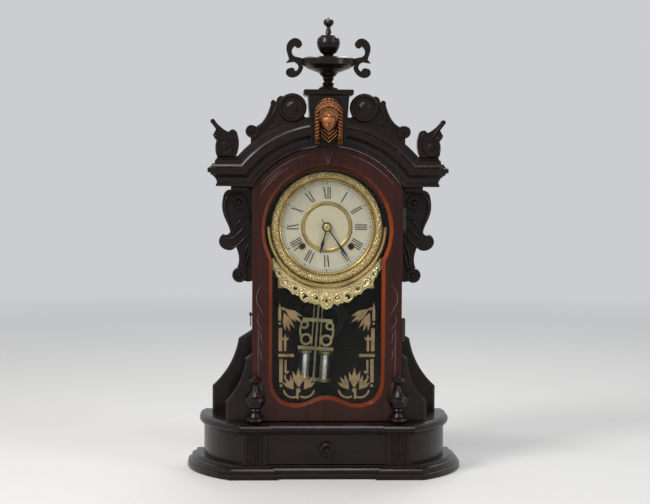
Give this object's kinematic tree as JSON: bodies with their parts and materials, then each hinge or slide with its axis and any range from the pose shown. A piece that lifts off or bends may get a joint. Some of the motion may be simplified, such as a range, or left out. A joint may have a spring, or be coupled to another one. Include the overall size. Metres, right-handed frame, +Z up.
{
  "type": "parlor clock",
  "caption": "Carved walnut shelf clock with an arched glazed door, brass dial surround, mask keystone, urn finial, side brackets, a pendulum and a drawer in its moulded base.",
  "frame": {"origin": "on the surface under the clock, at the middle of its footprint's bounding box", "axes": "X to the right as seen from the front, Y to the back, Z up; the dial faces -Y"},
  "size_m": [0.3838, 0.156, 0.622],
  "materials": {
    "walnut": "dark varnished walnut, worn at the edges",
    "mahogany": "varnished reddish wood with a bright bevel",
    "softwood": "bare pine, stained dark",
    "glass": "old clear glass with a gilt stencil",
    "bronze": "copper bronzed cast metal",
    "brass": "lacquered brass, tarnished",
    "dial_paper": "printed cream paper on a metal pan",
    "blued_steel": "blued steel",
    "steel": "turned steel",
    "iron": "black japanned iron",
    "silvered": "silvered tubes that stand in for mercury jars"
  },
  "bodies": {
    "case": {"back_board": "softwood", "base_back_rail": "softwood", "base_ends": "walnut", "base_pilasters": "walnut", "base_plinth": "walnut", "base_top_board": "walnut", "case_roof": "walnut", "case_sides": "walnut", "corner_scrolls": "walnut", "cornice_arch": "walnut", "cornice_ends": "walnut", "dial_apron": "brass", "dial_board": "softwood", "dial_crescent": "brass", "dial_pan": "dial_paper", "dial_rings": "brass", "drawer_runners": "softwood", "front_wings": "walnut", "gong": "steel", "gong_base": "iron", "hinge_case_leaves": "brass", "hook_screw": "brass", "keystone_block": "walnut", "keystone_mask": "bronze", "movement_pillars": "brass", "movement_plates": "brass", "pediment_cap": "walnut", "pediment_scrolls": "walnut", "rear_wings": "walnut", "side_brackets": "walnut", "suspension_cock": "brass", "urn_finial": "walnut", "urn_handles": "walnut"},
    "drawer": {"drawer_front": "walnut", "drawer_tray": "softwood", "drawer_knob": "walnut"},
    "door": {"door_frame": "mahogany", "door_glass": "glass", "glass_bead": "mahogany", "door_finials": "walnut", "hinge_door_leaves": "brass", "hook_pin": "brass"},
    "hook": {"door_hook": "brass"},
    "centre": {"centre_arbor": "steel", "centre_wheel": "brass", "minute_hand": "blued_steel", "hand_collet": "brass"},
    "hour": {"hour_hand": "blued_steel", "hour_wheel": "brass"},
    "motion": {"minute_wheel": "brass"},
    "time_great": {"time_great_wheel": "brass"},
    "third": {"third_wheel": "brass"},
    "escape": {"escape_wheel": "brass"},
    "time_winding": {"time_winding_arbor": "steel"},
    "strike_winding": {"strike_winding_arbor": "steel"},
    "strike_great": {"strike_great_wheel": "brass"},
    "pendulum": {"pendulum_frame": "brass", "pendulum_jars": "silvered"},
    "verge": {"verge": "steel"},
    "hammer": {"strike_hammer": "steel"}
  },
  "joints": [
    {"name": "drawer_slide", "type": "slide", "parent": "case", "child": "drawer", "axis": [0, -1, 0], "range_m": [0, 0.08]},
    {"name": "door_hinge", "type": "hinge", "parent": "case", "child": "door", "pos_m": [0.1038, -0.0467, 0.25], "axis": [0, 0, 1], "range_deg": [0, 60]},
    {"name": "door_hook_turn", "type": "hinge", "parent": "case", "child": "hook", "pos_m": [-0.1035, -0.022, 0.2195], "axis": [-1, 0, 0], "range_deg": [0, 90]},
    {"name": "minute_hand_turn", "type": "hinge", "parent": "case", "child": "centre", "pos_m": [0, 0, 0.3389], "axis": [0, 1, 0], "continuous": true},
    {"name": "hour_hand_turn", "type": "hinge", "parent": "case", "child": "hour", "pos_m": [0, 0, 0.3389], "axis": [0, 1, 0], "continuous": true},
    {"name": "minute_wheel_turn", "type": "hinge", "parent": "case", "child": "motion", "pos_m": [0.01289, 0, 0.33146], "axis": [0, 1, 0], "continuous": true},
    {"name": "time_great_wheel_turn", "type": "hinge", "parent": "case", "child": "time_great", "pos_m": [0.0334, 0, 0.3124], "axis": [0, 1, 0], "continuous": true},
    {"name": "third_wheel_turn", "type": "hinge", "parent": "case", "child": "third", "pos_m": [-0.01133, 0, 0.35776], "axis": [0, 1, 0], "continuous": true},
    {"name": "escape_wheel_turn", "type": "hinge", "parent": "case", "child": "escape", "pos_m": [0, 0, 0.372], "axis": [0, 1, 0], "continuous": true},
    {"name": "time_winding_turn", "type": "hinge", "parent": "case", "child": "time_winding", "pos_m": [0.0334, 0, 0.3124], "axis": [0, 1, 0], "continuous": true},
    {"name": "strike_winding_turn", "type": "hinge", "parent": "case", "child": "strike_winding", "pos_m": [-0.0334, 0, 0.3124], "axis": [0, 1, 0], "continuous": true},
    {"name": "strike_great_wheel_turn", "type": "hinge", "parent": "case", "child": "strike_great", "pos_m": [-0.0334, 0, 0.3124], "axis": [0, 1, 0], "continuous": true},
    {"name": "pendulum_swing", "type": "hinge", "parent": "case", "child": "pendulum", "pos_m": [0, 0.029, 0.368], "axis": [0, 1, 0], "range_deg": [-8.2, 0.8]},
    {"name": "verge_rock", "type": "hinge", "parent": "case", "child": "verge", "pos_m": [0, 0.02, 0.39321], "axis": [0, 1, 0], "range_deg": [-5.08, 0.5]},
    {"name": "hammer_lift", "type": "hinge", "parent": "case", "child": "hammer", "pos_m": [-0.033, 0.02, 0.262], "axis": [0, 1, 0], "range_deg": [0, 12]}
  ],
  "couplings": [
    {"joint": "hour_hand_turn", "follows": "minute_hand_turn", "ratio": 0.083333},
    {"joint": "minute_wheel_turn", "follows": "minute_hand_turn", "ratio": -0.33333},
    {"joint": "time_great_wheel_turn", "follows": "minute_hand_turn", "ratio": -0.14286},
    {"joint": "third_wheel_turn", "follows": "minute_hand_turn", "ratio": -10},
    {"joint": "escape_wheel_turn", "follows": "minute_hand_turn", "ratio": 120},
    {"joint": "verge_rock", "follows": "pendulum_swing", "ratio": 0.61921}
  ]
}
